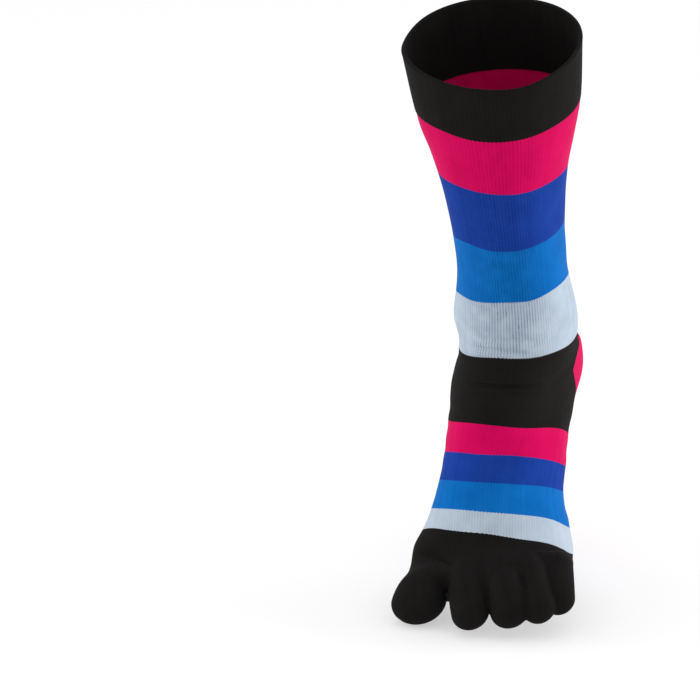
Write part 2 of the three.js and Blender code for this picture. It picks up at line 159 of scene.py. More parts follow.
# Length from the first point to each point, along one axis of a grid of points.
def lengthAlong(points, axis):
    steps = lengthOf(np.diff(points, axis=axis)).cumsum(axis)
    return np.concatenate([np.zeros_like(np.take(steps, [0], axis)), steps], axis)


# Share 0 to 1 between two values, eased at both ends.
def eased(low, high, value):
    share = np.clip((value - low) / (high - low), 0, 1)
    return share * share * (3 - 2 * share)


# Turns side view points about a pivot.
def turned(forward, up, pivotForward, pivotUp, degrees):
    c, s = np.cos(np.radians(degrees)), np.sin(np.radians(degrees))
    awayForward, awayUp = forward - pivotForward, up - pivotUp
    return pivotForward + awayForward * c - awayUp * s, pivotUp + awayForward * s + awayUp * c


# Flat foot and upright leg to lifted heel, leaning leg and bent toes.
def poseFoot(points):
    length, height, width = sock["footLength"], sock["sockHeight"], sock["footWidth"]
    x, forward, up = points[..., 0], points[..., 1], points[..., 2]
    legShare = eased(bend["legFrom"] * height, bend["legTo"] * height, up)
    forward, up = turned(forward, up, bend["ankleForward"] * length, bend["ankleUp"] * height,
                         sock["ankleFlex"] * legShare)
    ballForward = bend["toeForward"] * length
    lineForward = ballForward - bend["toeSlant"] * (x - bend["slantFrom"] * width)
    toeShare = eased(bend["toeFrom"] * length, bend["toeTo"] * length, forward - lineForward)
    forward, up = turned(forward, up, lineForward, bend["toeUp"] * height, sock["toeBend"] * toeShare)
    forward, up = turned(forward, up, ballForward, 0, -sock["heelLift"])
    return np.stack([x, ballForward - forward, up], -1)


def sizeOf():
    return np.array([sock["footWidth"], sock["footLength"], sock["sockHeight"]])


# Middle of the leg opening, the origin of the part.
topRow = named(ringColumns, ringTable)[0]
openingMiddle = poseFoot(sizeOf() * np.array([
    topRow["shift"],
    (topRow["topForward"] + topRow["backForward"]) / 2,
    (topRow["topUp"] + topRow["backUp"]) / 2,
]))


def place(points):
    return poseFoot(points) - openingMiddle


beforeTop = 0.3  # how many rows the sock may run on above the first one


# Catmull-Rom curve through b and c, with a before them and d after them.
def curveThrough(a, b, c, d, t):
    sharp = (2 * a - 5 * b + 4 * c - d) * t ** 2 + (3 * b - a - 3 * c + d) * t ** 3
    return (2 * b + (c - a) * t + sharp) / 2


# Smooth values between the rows of the table.
def rowAt(u):
    last = len(ringTable) - 1
    at = np.clip(u, -beforeTop, last)
    i = np.clip(np.floor(at).astype(int), 0, last - 1)
    t = (at - i)[..., None]
    b, c = ringTable[i], ringTable[i + 1]
    a = np.where((i > 0)[..., None], ringTable[np.maximum(i - 1, 0)], 2 * b - c)
    d = np.where((i + 2 <= last)[..., None], ringTable[np.minimum(i + 2, last)], 2 * c - b)
    return dict(zip(ringColumns, np.moveaxis(curveThrough(a, b, c, d, t), -1, 0)))


# Turn in radians, -pi to pi, from an angle of the table in degrees.
def turnFrom(degrees, angle):
    return (angle - math.radians(degrees) + math.pi) % (2 * math.pi) - math.pi


# Sideways fullness at a place, as a share of footWidth.
def fullness(u, angle):
    out = np.zeros_like(u)
    for spot in named(fullColumns, fullPlaces):
        away = turnFrom(spot["angle"], angle) / math.radians(spot["spreadAngle"])
        spread = ((u - spot["row"]) / spot["spreadRow"]) ** 2 + away ** 2
        out = out + np.sign(spot["angle"]) * spot["out"] * np.exp(-spread)
    return out


# Outer knit of the flat sock: u runs down the sock, angle runs round it from the front or top.
def flatPoint(u, angle):
    u, angle = np.broadcast_arrays(np.asarray(u, float), np.asarray(angle, float))
    row = rowAt(u)
    c, s = np.cos(angle), np.sin(angle)
    power = 2 / np.where(c > 0, row["squareTop"], row["squareBack"])
    along = np.sign(c) * np.abs(c) ** power
    side = np.sign(s) * np.abs(s) ** power
    low = np.where(s > 0, row["lowOuter"], row["lowInner"])
    k = along * np.where(along > 0, 1 + low, 1 - low) - low
    wide = np.where(s > 0, row["wideOuter"], row["wideInner"])
    lean = np.where(c > 0, row["shiftTop"], row["shiftBack"])
    x = row["shift"] + wide * side + lean * along ** 2 + fullness(u, angle)
    forward = (row["topForward"] + row["backForward"]) / 2
    forward = forward + (row["topForward"] - row["backForward"]) / 2 * k
    forward = forward + row["bow"] * side ** 2 - row["skew"] * side
    up = (row["topUp"] + row["backUp"]) / 2 + (row["topUp"] - row["backUp"]) / 2 * k + row["tilt"] * side
    return np.stack([x, forward, up], -1) * sizeOf()


def knitPoint(u, angle):
    return place(flatPoint(u, angle))


slopeStep = 0.01


def slopeAlong(u, angle):
    low, high = np.maximum(u - slopeStep, -beforeTop), np.minimum(u + slopeStep, len(ringTable) - 1)
    return (knitPoint(high, angle) - knitPoint(low, angle)) / (high - low)[..., None]


def outwardNormal(u, angle):
    around = knitPoint(u, angle + slopeStep) - knitPoint(u, angle - slopeStep)
    normal = np.cross(slopeAlong(u, angle), around)
    return normal / lengthOf(normal)[..., None]


# The knit stands up on both sides of a crease: how high, where and how wide, against the crease.
creaseSides = {"high": 0.45, "at": 2.2, "wide": 1.4}
# Soft unevenness of the worn knit, in metres. It fades in under the rim and out before the toes.
ripple = {"deep": 0.00016, "fadeIn": [0.1, 0.6], "fadeOut": [10.7, 11.3]}


# Depth of the creases and the ripple at a place, in metres along the normal.
def creaseDepth(u, angle):
    depth = np.zeros_like(u)
    slope = lengthOf(slopeAlong(u, angle))
    for crease in named(creaseColumns, creases):
        turn = turnFrom(crease["angle"], angle)
        line = crease["row"] + crease["lean"] * np.degrees(turn)
        across = (u - line) * slope / crease["wide"]
        fade = np.exp(-(turn / math.radians(crease["reach"])) ** 4)
        form = np.exp(-across ** 2)
        for side in (-1, 1):
            away = (across + side * creaseSides["at"]) / creaseSides["wide"]
            form = form - creaseSides["high"] * np.exp(-(away ** 2))
        depth = depth + crease["deep"] * fade * form
    # whole numbers of waves round the sock, so that they close, and uneven ones along it
    waves = np.sin(3 * angle + 4.1 * u) * np.sin(2 * angle - 5.3 * u)
    waves = waves + 0.6 * np.sin(5 * angle + 7.7 * u + 1.3)
    fadeIn, fadeOut = eased(*ripple["fadeIn"], u), 1 - eased(*ripple["fadeOut"], u)
    return depth + ripple["deep"] * waves * fadeOut * fadeIn


# How far each colour change strays along the worn sock, in millimetres towards the toes,
# at -90, -60, -30, 0, 30, 60 and 90 degrees from the front, and then at the back.
strays = {
    "cuffTop": [-1.5, -5.0, -3.8, -0.9, 1.2, -0.4, -0.5, 0.0],
    "cuffEnd": [-2.5, -4.4, -3.9, -0.2, 0.3, -2.4, -3.8, -3.0],
    "legPink": [-2.5, -4.4, -4.4, -2.2, -1.4, -2.6, -3.0, -2.5],
    "legRoyal": [-2.5, -5.0, -5.4, -1.6, -0.4, -1.6, -3.2, -2.5],
    "legAzure": [-3.0, -4.2, -2.4, -1.2, 0.2, -2.8, -4.2, -3.0],
    "legGrey": [1.6, 3.0, 2.0, -0.4, -2.0, -3.6, -3.0, 0.0],
    "arch": [-0.6, -0.8, -0.7, -0.3, 0.0, -0.7, -0.2, 0.0],
    "footPink": [0.0, 0.2, 0.6, 1.3, 0.5, 0.7, 1.6, 0.5],
    "footRoyal": [0.0, 0.2, 0.1, -0.2, -1.8, -2.9, -2.2, -0.5],
    "footAzure": [2.4, 2.0, 1.3, -0.1, -1.6, -1.6, 2.4, 0.5],
    "footGrey": [2.0, -0.2, -2.3, -1.9, 0.6, -0.6, 2.6, 0.8],
}
# Finer waves in a colour change: height in metres, waves round the sock, turn from change to change.
edgeWaves = [[0.00018, 2, 1.7], [0.00012, 5, 2.3]]


# A colour change follows a course of knit, which never lies quite level.
def edgeShift(name, angle):
    front, back = strays[name][:7], strays[name][7]
    knots = np.array([back, (front[0] + 2 * back) / 3, (2 * front[0] + back) / 3] + front
                     + [(2 * front[6] + back) / 3, (front[6] + 2 * back) / 3])
    at = (np.degrees(angle) + 180) % 360 / 30
    i = np.floor(at).astype(int)
    t = at - i
    a, b, c, d = (knots[(i + k) % len(knots)] for k in (-1, 0, 1, 2))
    shift = curveThrough(a, b, c, d, t) / 1000
    row = ringNames.index(name)
    if row:  # the top edge of the cuff stays even
        shift = shift + sum(high * np.sin(times * angle + turn * row) for high, times, turn in edgeWaves)
    return shift


# How far the knit is stretched open, 0 to 1: most over the shin, least on the black parts.
# It deepens the painted shade between the wales and lengthens the teeth at the colour changes.
stretch = {
    "rows": [0.05, 0.30, 0.65, 0.85, 0.90, 1.00, 0.10, 0.10, 0.20, 0.30, 0.25, 0.20, 0.15, 0.0, 0.0],
    "middle": 3,  # angle from the front, in degrees
    "wide": 41,  # degrees to each side of the middle
    "least": 0.15,  # what is left of it at the back
}


def stretchAt(u, angle):
    turn = np.degrees(turnFrom(stretch["middle"], angle))
    along = np.interp(u, np.arange(len(stretch["rows"])), stretch["rows"])
    return along * (stretch["least"] + (1 - stretch["least"]) * np.exp(-(turn / stretch["wide"]) ** 4))


# Knitted teeth at a colour change, in metres, and how much longer they are where it is stretched.
teeth = {"short": 0.00012, "stretched": 0.00028}


# Quads between rings of points, with the ring and the place on it of each corner.
def tubeQuads(rings, count, closed=False):
    j, i = np.meshgrid(np.arange(rings if closed else rings - 1), np.arange(count), indexing="ij")
    ringAt = np.stack([j, j + 1, j + 1, j], -1).reshape(-1, 4)
    placeAt = np.stack([i, i, i + 1, i + 1], -1).reshape(-1, 4)
    return ringAt % rings * count + placeAt % count, ringAt, placeAt


# A sheet of knit between two rows, with short teeth where the colour changes: u and angle of its
# points, quads and their stitch map.
def knitGrid(fromRow, toRow):
    start, end = ringNames.index(fromRow), ringNames.index(toRow)
    count = sock["around"]
    angles = np.arange(count) * 2 * math.pi / count
    along = np.linspace(start, end, 60)
    longest = max(lengthAlong(knitPoint(along, np.full_like(along, angle)), 0)[-1]
                  for angle in (0, math.pi / 2, math.pi, -math.pi / 2))
    rings = max(6, round(longest / sock["rowStep"])) + 1
    shares = np.linspace(0, 1, rings)[:, None]
    ringLow, ringHigh = (
        row + edgeShift(ringNames[row], angles) / lengthOf(slopeAlong(np.full_like(angles, row), angles))
        for row in (start, end))
    u = ringLow[None] * (1 - shares) + ringHigh[None] * shares
    angle = np.broadcast_to(angles, u.shape)
    for ring, row in ((0, start), (-1, end)):
        if row:
            deep = teeth["short"] + teeth["stretched"] * stretchAt(row - slopeStep, angles)
            tooth = deep * (-1) ** np.arange(count)
            u[ring] += tooth / lengthOf(slopeAlong(u[ring], angles))
    points = knitPoint(u, angle)
    closed = np.concatenate([points, points[:, :1]], 1)
    arc, drop = lengthAlong(closed, 1), lengthAlong(closed, 0)
    stitchAt = np.stack([arc / arc[:, -1:] * sock["needles"], drop / sock["courseStep"]], -1)
    quads, ringAt, placeAt = tubeQuads(rings, count)
    return u.reshape(-1), angle.reshape(-1), quads, stitchAt[ringAt, placeAt]


# Points and normals of a knit sheet, with its creases pressed in.
def dressedPoints(u, angle):
    normal = outwardNormal(u, angle)
    return knitPoint(u, angle) - normal * creaseDepth(u, angle)[:, None], normal


def linked(name, data):
    piece = bpy.data.objects.new(name, data)
    bpy.context.scene.collection.objects.link(piece)
    return piece


sharpFrom = 50  # degrees between two faces of a knit edge


# Smooth mesh with its stitch map: wales across, courses along.
# hasEdges is for a piece whose edges are sharp.
def knitPiece(name, points, faces, stitches, hasEdges=True):
    mesh = bpy.data.meshes.new(name)
    mesh.from_pydata(points.tolist(), [], faces)
    layer = mesh.uv_layers.new(name="stitches")
    layer.data.foreach_set("uv", stitches.astype(np.float32).ravel())
    mesh.polygons.foreach_set("use_smooth", np.ones(len(mesh.polygons), bool))
    if hasEdges:
        mesh.set_sharp_from_angle(angle=math.radians(sharpFrom))
    mesh.update()
    return linked(name, mesh)


# Closed mesh of a sheet of knit, one wall thick.
def thickKnit(name, points, normals, openness, faces, stitches):
    used = np.unique(np.concatenate([np.asarray(face) for face in faces]))
    renumber = {old: new for new, old in enumerate(used)}
    points, normals, openness = points[used], normals[used], openness[used]
    faces = [[renumber[v] for v in face] for face in faces]
    count = len(points)
    edges = {}
    for face, coords in zip(faces, stitches):
        for k in range(len(face)):
            n = (k + 1) % len(face)
            edges[(face[k], face[n])] = (coords[k], coords[n])
    polygons = faces + [[v + count for v in reversed(face)] for face in faces]
    coordinates = list(stitches) + [coords[::-1] for coords in stitches]
    for (a, b), (coordA, coordB) in edges.items():
        if (b, a) not in edges:
            polygons.append([b, a, a + count, b + count])
            coordinates.append(np.array([coordB, coordA, coordA, coordB]))
    vertices = np.concatenate([points, points - normals * sock["wall"]])
    piece = knitPiece(name, vertices, polygons, np.concatenate(coordinates))
    opened = piece.data.attributes.new("stretch", "FLOAT", "POINT")
    opened.data.foreach_set("value", np.tile(openness, 2).astype(np.float32))
    return piece


# sRGB hex to linear.
def hexColour(text):
    values = [int(text[k:k + 2], 16) / 255 for k in (1, 3, 5)]
    return tuple(v / 12.92 if v <= 0.04045 else ((v + 0.055) / 1.055) ** 2.4 for v in values) + (1.0,)


# Adds one node with its settings, input values and incoming links. A node given as a link stands
# for its first output.
def addNode(tree, kind, settings=None, values=None, links=None):
    node = tree.nodes.new("ShaderNode" + kind)
    for key, value in (settings or {}).items():
        setattr(node, key, value)
    for key, value in (values or {}).items():
        node.inputs[key].default_value = value
    for key, source in (links or {}).items():
        output = source.outputs[0] if isinstance(source, bpy.types.Node) else source
        tree.links.new(output, node.inputs[key])
    return node


# Fine jersey knit of combed cotton with nylon and elastane, made on a small circular machine.
# The eye gets matt yarn, faint upright wales with small V stitches, painted shade between the wales,
# a soft pale edge where fibres stand off the surface, and slow cloudy changes of tone.
# quiet is how much of the wales and of their painted shade shows where the knit isn't stretched.
# gapShade is painted shade: the yarn colour darkened where shade falls between the wales and in pulled
# stitches.
knitColumns = ["yarn", "gapShade", "cloud", "sheen", "sheenTint", "quiet"]
knitLooks = {
    "black": ["#151312", "#080707", "#191716", 0.012, "#b9b4b0", 0.30],
    "pink": ["#c2014f", "#92003a", "#cd0557", 0.04, "#ffc6dc", 0.22],
    "royal": ["#13358a", "#0b2361", "#183d96", 0.02, "#c3d0ff", 0.22],
    "azure": ["#045faa", "#03477f", "#0a69b6", 0.025, "#c8e2ff", 0.22],
    "grey": ["#a8b5c3", "#5c6d80", "#b2beca", 0.07, "#ffffff", 0.22],
}
knitSurface = {"ior": 1.47, "specular": 0.06, "sheenRoughness": 0.32, "roughRidge": 0.84, "roughGap": 0.96}
# Sizes of the stitch relief and of its painted shade. Wales are drawn at their real spacing of about 1.8 mm,
# and courses at 1.5 mm instead of the real 1.1 mm, because finer rows don't show at this distance.
relief = {
    "height": 0.00016,
    "strength": 0.6,
    "fuzzPart": 3.0,  # the wales stand this many times higher than the fuzz
    "lean": 0.55,  # how far a stitch leg climbs across half a wale
    "roundness": 3.4,  # higher makes flat wales with narrow gaps
    "courseDip": 0.22,  # depth between two courses against the depth between two wales
    "fuzzScale": 2600.0,  # fibre clumps of about 0.4 mm
    "cloudScale": 60.0,  # shade changes of about 17 mm
    "patchScale": 150.0,  # wales show more and less over about 7 mm
    "patchLeast": 0.45,  # how much of them shows in the flattest and in the roughest patch
    "patchMost": 1.2,
    "streakScale": 0.45,  # shade changes every two wales
    "streakPart": 0.5,  # against the cloud's part
    "unpulled": 0.965,  # share of stitch pairs that aren't pulled where the knit is stretched
    "pulledShade": 0.7,  # 1 gives a pulled stitch the full painted shade of the gaps
}


def knitMaterial(colour):
    look = dict(zip(knitColumns, knitLooks[colour]))
    material = bpy.data.materials.new("cotton jersey knit " + colour)
    material.use_nodes = True
    tree = material.node_tree
    tree.nodes.clear()
    stitch = addNode(tree, "UVMap", {"uv_map": "stitches"})
    split = addNode(tree, "SeparateXYZ", links={"Vector": stitch.outputs["UV"]})
    wale = addNode(tree, "Math", {"operation": "FRACT"}, links={0: split.outputs["X"]})
    centred = addNode(tree, "Math", {"operation": "SUBTRACT"}, {1: 0.5}, {0: wale})
    half = addNode(tree, "Math", {"operation": "ABSOLUTE"}, links={0: centred})
    leg = addNode(tree, "Math", {"operation": "MULTIPLY"}, {1: 2.0}, {0: half})
    # valley is 1 in the gap between two wales, ridge is 1 in the middle of a wale
    valley = addNode(tree, "Math", {"operation": "POWER"}, {1: relief["roundness"]}, {0: leg})
    ridge = addNode(tree, "Math", {"operation": "SUBTRACT"}, {0: 1.0}, {1: valley})
    # V stitches: courses that climb from the gap to the middle of the wale
    climb = addNode(tree, "Math", {"operation": "MULTIPLY_ADD"}, {1: relief["lean"]},
                    {0: leg, 2: split.outputs["Y"]})
    phase = addNode(tree, "Math", {"operation": "MULTIPLY"}, {1: 2 * math.pi}, {0: climb})
    wave = addNode(tree, "Math", {"operation": "SINE"}, links={0: phase})
    rows = addNode(tree, "Math", {"operation": "MULTIPLY_ADD"},
                   {1: relief["courseDip"], 2: 1 - relief["courseDip"]}, {0: wave})
    loops = addNode(tree, "Math", {"operation": "MULTIPLY"}, links={0: ridge, 1: rows})
    dip = addNode(tree, "Math", {"operation": "SUBTRACT"}, {0: 1.0}, {1: loops})
    # wales and the painted shade between them show where the knit is stretched, and more in some patches
    # than in others
    place3d = addNode(tree, "TexCoord")
    patches = addNode(tree, "TexNoise", values={"Scale": relief["patchScale"], "Detail": 2.0},
                      links={"Vector": place3d.outputs["Object"]})
    patchy = addNode(tree, "MapRange", values={
        "From Min": 0.3, "From Max": 0.7, "To Min": relief["patchLeast"], "To Max": relief["patchMost"],
    }, links={"Value": patches.outputs["Fac"]})
    stretched = addNode(tree, "Attribute", {"attribute_name": "stretch"})
    openness = addNode(tree, "Math", {"operation": "MULTIPLY_ADD"},
                       {1: 1 - look["quiet"], 2: look["quiet"]}, {0: stretched.outputs["Fac"]})
    shown = addNode(tree, "Math", {"operation": "MULTIPLY"}, links={0: openness, 1: patchy})
    depth = addNode(tree, "Math", {"operation": "MULTIPLY"}, links={0: dip, 1: shown})
    # a few pulled stitches, painted as short dashes of shade between two wales
    pairs = addNode(tree, "VectorMath", {"operation": "MULTIPLY_ADD"},
                    {1: (1.0, 0.5, 1.0), 2: (0.5, 0.0, 0.0)}, {0: stitch.outputs["UV"]})
    cells = addNode(tree, "VectorMath", {"operation": "FLOOR"}, links={0: pairs})
    chance = addNode(tree, "TexWhiteNoise", {"noise_dimensions": "2D"}, links={"Vector": cells})
    pulled = addNode(tree, "Math", {"operation": "GREATER_THAN"}, {1: relief["unpulled"]},
                     {0: chance.outputs["Value"]})
    pull = addNode(tree, "Math", {"operation": "MULTIPLY"}, links={0: pulled, 1: stretched.outputs["Fac"]})
    dash = addNode(tree, "Math", {"operation": "MULTIPLY"}, links={0: pull, 1: valley})
    paintedShadeShare = addNode(tree, "Math", {"operation": "MULTIPLY_ADD", "use_clamp": True},
                   {1: relief["pulledShade"]}, {0: dash, 2: depth})
    fuzz = addNode(tree, "TexNoise", values={"Scale": relief["fuzzScale"], "Detail": 3.0},
                   links={"Vector": place3d.outputs["Object"]})
    cloud = addNode(tree, "TexNoise", values={"Scale": relief["cloudScale"], "Detail": 4.0},
                    links={"Vector": place3d.outputs["Object"]})
    streak = addNode(tree, "TexNoise", {"noise_dimensions": "1D"},
                     {"Scale": relief["streakScale"], "Detail": 2.0}, {"W": split.outputs["X"]})
    shades = addNode(tree, "Math", {"operation": "MULTIPLY_ADD"}, {1: relief["streakPart"]},
                     {0: streak.outputs["Fac"], 2: cloud.outputs["Fac"]})
    cloudy = addNode(tree, "MapRange", values={"From Min": 0.56, "From Max": 0.98}, links={"Value": shades})
    shade = addNode(tree, "Mix", {"data_type": "RGBA"},
                    {6: hexColour(look["yarn"]), 7: hexColour(look["cloud"])}, {0: cloudy})
    # the yarn's colour mixed towards gapShade: painted shade between the wales and in pulled stitches
    colourOut = addNode(tree, "Mix", {"data_type": "RGBA"}, {7: hexColour(look["gapShade"])},
                        {0: paintedShadeShare, 6: shade.outputs[2]})
    surface = addNode(tree, "Math", {"operation": "MULTIPLY_ADD"}, {1: -relief["fuzzPart"]},
                      {0: depth, 2: fuzz.outputs["Fac"]})
    fuzzHeight = relief["height"] / relief["fuzzPart"]
    bump = addNode(tree, "Bump", values={"Strength": relief["strength"], "Distance": fuzzHeight},
                   links={"Height": surface})
    rough = addNode(tree, "MapRange",
                    values={"To Min": knitSurface["roughGap"], "To Max": knitSurface["roughRidge"]},
                    links={"Value": loops})
    cloth = addNode(tree, "BsdfPrincipled", values={
        "IOR": knitSurface["ior"],
        "Metallic": 0.0,
        "Specular IOR Level": knitSurface["specular"],
        "Sheen Weight": look["sheen"],
        "Sheen Roughness": knitSurface["sheenRoughness"],
        "Sheen Tint": hexColour(look["sheenTint"]),
    }, links={"Base Color": colourOut.outputs[2], "Roughness": rough, "Normal": bump})
    addNode(tree, "OutputMaterial", links={"Surface": cloth})
    return material


knits = {colour: knitMaterial(colour) for colour in knitLooks}
print("materials: five colours of jersey knit")


# Ties a finished piece to the frame.
def dress(piece, colour, *nodes):
    piece.data.materials.append(knits[colour])
    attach(piece, "root")
    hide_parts(*nodes)


# Bands of the leg and foot: start row, end row, colour and the solid they stand for.
bands = {
    "legBandPink": ["cuffEnd", "legPink", "pink", "leg_band_pink"],
    "legBandRoyal": ["legPink", "legRoyal", "royal", "leg_band_royal"],
    "legBandAzure": ["legRoyal", "legAzure", "azure", "leg_band_azure"],
    "legBandGrey": ["legAzure", "legGrey", "grey", "leg_band_grey"],
    "footBandPink": ["arch", "footPink", "pink", "foot_band_pink"],
    "footBandRoyal": ["footPink", "footRoyal", "royal", "foot_band_royal"],
    "footBandAzure": ["footRoyal", "footAzure", "azure", "foot_band_azure"],
    "footBandGrey": ["footAzure", "footGrey", "grey", "foot_band_grey"],
}


def makeBand(name, fromRow, toRow, colour, node):
    u, angle, quads, stitches = knitGrid(fromRow, toRow)
    points, normals = dressedPoints(u, angle)
    dress(thickKnit(name, points, normals, stretchAt(u, angle), quads, stitches), colour, node)


for name, (fromRow, toRow, colour, node) in bands.items():
    makeBand(name, fromRow, toRow, colour, node)
print("bands: eight colour bands")

# Cuff: a folded double knit that stands out from the leg, with a soft rolled rim.
cuff = {
    "wall": 0.0023,
    "standsOut": 0.0004,
    "rimRings": 7,
    "hemAt": 0.0009,  # the lower edge eases back to the leg over this length
    "hemUnder": 0.00005,  # and ends this far under the next band
}


def makeCuff():
    count = sock["around"]
    u, angle = (values.reshape(-1, count) for values in knitGrid("cuffTop", "cuffEnd")[:2])
    points, normals, slope = knitPoint(u, angle), outwardNormal(u, angle), slopeAlong(u, angle)
    perRow = lengthOf(slope)
    down = slope / perRow[..., None]
    fromTop, toHem = (u - u[0]) * perRow, (u[-1] - u) * perRow
    radius = cuff["wall"] / 2
    outside, inside = cuff["standsOut"], cuff["standsOut"] - cuff["wall"]
    rim = []
    for turn in np.linspace(-math.pi / 2, math.pi / 2, cuff["rimRings"]):
        out = (outside + inside) / 2 + radius * math.sin(turn)
        drop = radius * (1 - math.cos(turn))
        rim.append(points[0] + down[0] * drop + normals[0] * out)
    body = fromTop.min(axis=1) > radius
    outerOut = outside * eased(0, cuff["hemAt"], toHem) - cuff["hemUnder"]
    outer = (points + normals * outerOut[..., None])[body]
    inner = (points + normals * inside)[body]
    loop = np.concatenate([np.array(rim), outer, inner[::-1]])
    step = lengthOf(np.diff(np.concatenate([loop, loop[:1]]), axis=0)).mean(1)
    course = np.concatenate([[0], step.cumsum()]) / sock["courseStep"]
    quads, ringAt, placeAt = tubeQuads(len(loop), count, closed=True)
    stitches = np.stack([placeAt * (sock["needles"] / count), course[ringAt]], -1)
    dress(knitPiece("cuffKnit", loop.reshape(-1, 3), quads.tolist(), stitches), "black", "cuff")


makeCuff()
print("cuff: double knit with a rolled rim")

# Ankle and instep in black, with the pink heel knitted into its lower back corner.
heel = {
    "patchLength": 0.049,  # forward from the back of the heel, along the sole
    "patchHeight": 0.045,  # up from the sole
}


def makeAnkle():
    us, angles, quads, stitches = knitGrid("legGrey", "arch")
    work = bmesh.new()
    atU = work.verts.layers.float.new("u")
    atAngle = work.verts.layers.float.new("angle")
    layer = work.loops.layers.uv.new("stitches")
    verts = []
    for point, u, angle in zip(flatPoint(us, angles).tolist(), us.tolist(), angles.tolist()):
        vert = work.verts.new(point)
        vert[atU] = u
        vert[atAngle] = angle
        verts.append(vert)
    for quad, coords in zip(quads.tolist(), stitches.tolist()):
        face = work.faces.new([verts[k] for k in quad])
        for loop, coord in zip(face.loops, coords):
            loop[layer].uv = coord
    for cut, facing in ((heel["patchLength"], Vector((0, 1, 0))), (heel["patchHeight"], Vector((0, 0, 1)))):
        everything = work.verts[:] + work.edges[:] + work.faces[:]
        bmesh.ops.bisect_plane(work, geom=everything, dist=0.00001, plane_co=facing * cut, plane_no=facing)
    work.verts.index_update()
    us = np.array([v[atU] for v in work.verts])
    angles = np.array([v[atAngle] for v in work.verts])
    points, normals = dressedPoints(us, angles)
    patch, rest = ([], []), ([], [])
    for face in work.faces:
        middle = face.calc_center_median()
        inPatch = middle.y < heel["patchLength"] and middle.z < heel["patchHeight"]
        target = patch if inPatch else rest
        target[0].append([v.index for v in face.verts])
        target[1].append(np.array([loop[layer].uv[:] for loop in face.loops]))
    work.free()
    openness = np.zeros(len(us))
    dress(thickKnit("ankleKnit", points, normals, openness, *rest), "black", "ankle_and_instep")
    dress(thickKnit("heelKnit", points, normals, openness, *patch), "pink", "heel_patch")


makeAnkle()
print("ankle: black bend with the pink heel")

# Toes at the root, half way and at the centre of the round end: x, forward and up of the middle
# line, half width and half height. Shares of footWidth, footLength and sockHeight.
toes = {
    "toe_big": [[-0.311, 0.765, 0.059, 0.135, 0.040], [-0.340, 0.850, 0.059, 0.143, 0.044],
                [-0.338, 0.893, 0.047, 0.167, 0.045]],
    "toe_second": [[-0.096, 0.777, 0.060, 0.100, 0.039], [-0.055, 0.870, 0.064, 0.112, 0.038],
                   [-0.003, 0.935, 0.039, 0.113, 0.036]],
    "toe_third": [[0.088, 0.756, 0.059, 0.100, 0.038], [0.159, 0.857, 0.063, 0.114, 0.038],
                  [0.229, 0.926, 0.039, 0.117, 0.037]],
    "toe_fourth": [[0.243, 0.744, 0.055, 0.098, 0.036], [0.312, 0.819, 0.057, 0.098, 0.036],
                   [0.394, 0.910, 0.037, 0.101, 0.035]],
    "toe_little": [[0.410, 0.718, 0.050, 0.092, 0.033], [0.453, 0.790, 0.050, 0.092, 0.033],
                   [0.495, 0.871, 0.034, 0.095, 0.032]],
}
halfWay = 0.55  # where the middle row of the toe table stands
beforeRoot = 0.2  # a toe runs on this far behind its root, inside the foot
# Near the middle line of a toe, as a share of its half width, distances aren't measured but set.
toeCore = {"reach": 0.3, "distance": -0.7}

# Folds and dents on top of the toe end: ends as x and forward on the flat foot, depth, width and
# how far the middle strays towards the toes, all in metres, and how much shallower the ends are.
# foldHeights are the heights over the flat sole between which they fade in.
foldHeights = [0.010, 0.017]
foldColumns = ["startX", "startForward", "endX", "endForward", "deep", "wide", "bow", "taper"]
folds = [
    [-0.0385, 0.1785, -0.0130, 0.2012, 0.0023, 0.0020, -0.0024, 0.85],
    [0.0175, 0.1890, 0.0415, 0.1680, 0.0009, 0.0027, 0.0000, 0.50],
    [0.0140, 0.1965, 0.0158, 0.1995, 0.0009, 0.0030, 0.0000, 0.00],
    [0.0315, 0.1840, 0.0335, 0.1865, 0.0010, 0.0028, 0.0000, 0.00],
    [-0.0210, 0.1800, -0.0170, 0.1960, 0.0005, 0.0026, 0.0000, 0.50],
    [0.0020, 0.1930, 0.0070, 0.2090, 0.0005, 0.0018, 0.0000, 0.50],
    [0.0400, 0.1720, 0.0440, 0.1900, 0.0005, 0.0016, 0.0000, 0.50],
]

# How the toe end of the sock is worked out, in metres. Ahead counts from the edge of the grey band.
toeKnit = {
    "cell": 0.00085,  # size of the cells that the surface is found in
    "boxLow": [-0.56, 0.585, -0.045],  # corners of the box of cells, as shares like the toes' lines
    "boxHigh": [0.62, 1.03, 0.19],
    "footColumns": 180,
    "footRings": 43,
    "rowsBehind": 0.8,  # the foot body starts this many rows of the table before the black part
    "headingRings": 12,  # the dome that closes it points the way its last rings run
    "domeRings": 12,
    "domeDepth": 0.03,  # share of footLength
    "webBlend": 0.0050,  # how softly a toe grows out of the foot
    "rootBlends": [0.005, 0.015, 0.015, 0.006],  # how much each toe is joined to the next at its root
    "tipBlend": 0.0006,
    "joined": [0.42, 0.70],  # the join thins out between these places along a toe
    "retreat": 0.004,  # near the band the toes draw back this far, to stay inside the foot
    "retreatAhead": [0.008, 0.001],
    "tuckDepth": 0.0006,  # the black knit runs on under the grey band
    "tuckAhead": [0.0002, -0.0016],
    "underBand": 0.0035,
    "inset": 0.00004,  # the whole toe end stands in this far
    "smoothings": 3,
    "onToe": 0.0012,  # this close to a toe the wales follow it
}


# Curve through three values at 0, halfWay and 1, and its slope.
def through(values, t):
    a, b, c = values
    m = halfWay
    return a * (t - m) * (t - 1) / m + b * t * (t - 1) / (m * (m - 1)) + c * t * (t - m) / (1 - m)


def throughSlope(values, t):
    a, b, c = values
    m = halfWay
    return a * (2 * t - m - 1) / m + b * (2 * t - 1) / (m * (m - 1)) + c * (2 * t - m) / (1 - m)


